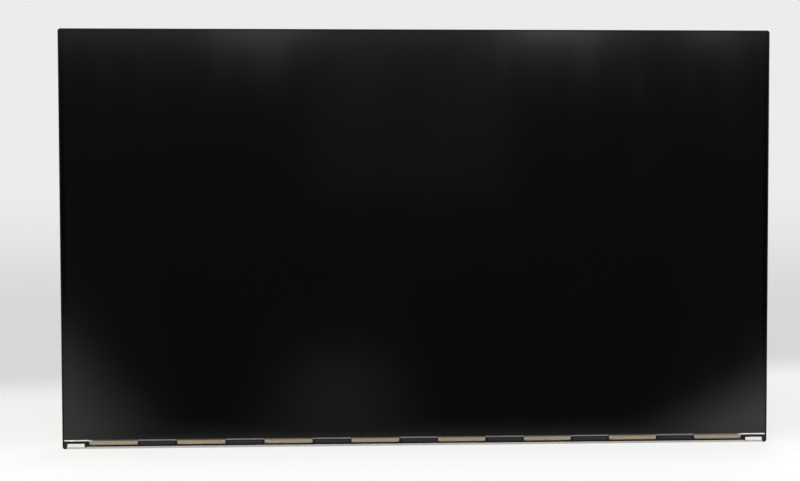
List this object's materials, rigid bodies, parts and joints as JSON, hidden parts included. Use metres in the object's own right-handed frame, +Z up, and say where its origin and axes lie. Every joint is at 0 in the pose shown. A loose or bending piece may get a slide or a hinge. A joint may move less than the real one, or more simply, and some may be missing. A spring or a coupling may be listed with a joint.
{
  "type": "lcd panel",
  "caption": "Flat edge-lit display module with a matte black front, bare driver films along its bottom edge and a pressed steel back with tapped screw holes.",
  "frame": {"origin": "middle of the four rear screw holes, on the plane of the pads that they are tapped in", "axes": "+X across the screen to the viewer's right, +Y from the viewer to the back, +Z up"},
  "size_m": [0.535, 0.0111, 0.3142],
  "materials": {
    "screen_film": "matte anti-glare film",
    "dark_film": "glossy dark film",
    "filter_glass": "black matrix behind polished glass",
    "array_glass": "glass with metal tracks",
    "amber_film": "satin polyimide with copper tracks",
    "bare_chip": "polished",
    "black_plastic": "fine moulded texture",
    "black_tape": "matte",
    "white_pad": "soft matte foam",
    "clear_sheet": "satin translucent",
    "clear_acrylic": "clear polished",
    "white_sheet": "matte white",
    "soft_rubber": "soft matte",
    "grey_tape": "matte",
    "metal_board": "white solder mask",
    "led_resin": "satin",
    "back_steel": "dull galvanised sheet",
    "green_board": "satin solder mask",
    "chip_resin": "fine matte",
    "ferrite": "matte",
    "capacitor_body": "fired body with tinned ends",
    "connector_plastic": "satin moulded",
    "contact_metal": "gold flash",
    "tab_steel": "tinned",
    "black_liner": "satin film",
    "cover_sheet": "dull rolled sheet",
    "screw_steel": "bright plated"
  },
  "bodies": {
    "root": {"front_polarizer": "screen_film", "rear_polarizer": "dark_film", "color_filter_glass": "filter_glass", "array_glass": "array_glass", "driver_film_1": "amber_film", "driver_film_2": "amber_film", "driver_film_3": "amber_film", "driver_film_4": "amber_film", "driver_film_5": "amber_film", "driver_film_6": "amber_film", "driver_film_7": "amber_film", "driver_film_8": "amber_film", "led_tail": "amber_film", "driver_chip_1": "bare_chip", "driver_chip_2": "bare_chip", "driver_chip_3": "bare_chip", "driver_chip_4": "bare_chip", "driver_chip_5": "bare_chip", "driver_chip_6": "bare_chip", "driver_chip_7": "bare_chip", "driver_chip_8": "bare_chip", "mid_frame": "black_plastic", "panel_tape": "black_tape", "board_tape": "black_tape", "corner_pad_left": "white_pad", "corner_pad_right": "white_pad", "reflective_sheet": "clear_sheet", "prism_sheet": "clear_sheet", "diffuser_sheet": "clear_sheet", "light_guide": "clear_acrylic", "reflector_sheet": "white_sheet", "guide_stop_left": "soft_rubber", "guide_stop_right": "soft_rubber", "led_tape": "grey_tape", "led_board": "metal_board", "led_packages": "led_resin", "back_cover": "back_steel", "source_board": "green_board", "timing_chip": "chip_resin", "power_chip": "chip_resin", "memory_chip": "chip_resin", "coils": "ferrite", "capacitors": "capacitor_body", "signal_connector": "connector_plastic", "led_connector": "connector_plastic", "signal_contacts": "contact_metal", "led_contacts": "contact_metal", "signal_tabs": "tab_steel", "cover_liner": "black_liner", "board_cover": "cover_sheet", "cover_screws": "screw_steel"}
  },
  "joints": []
}
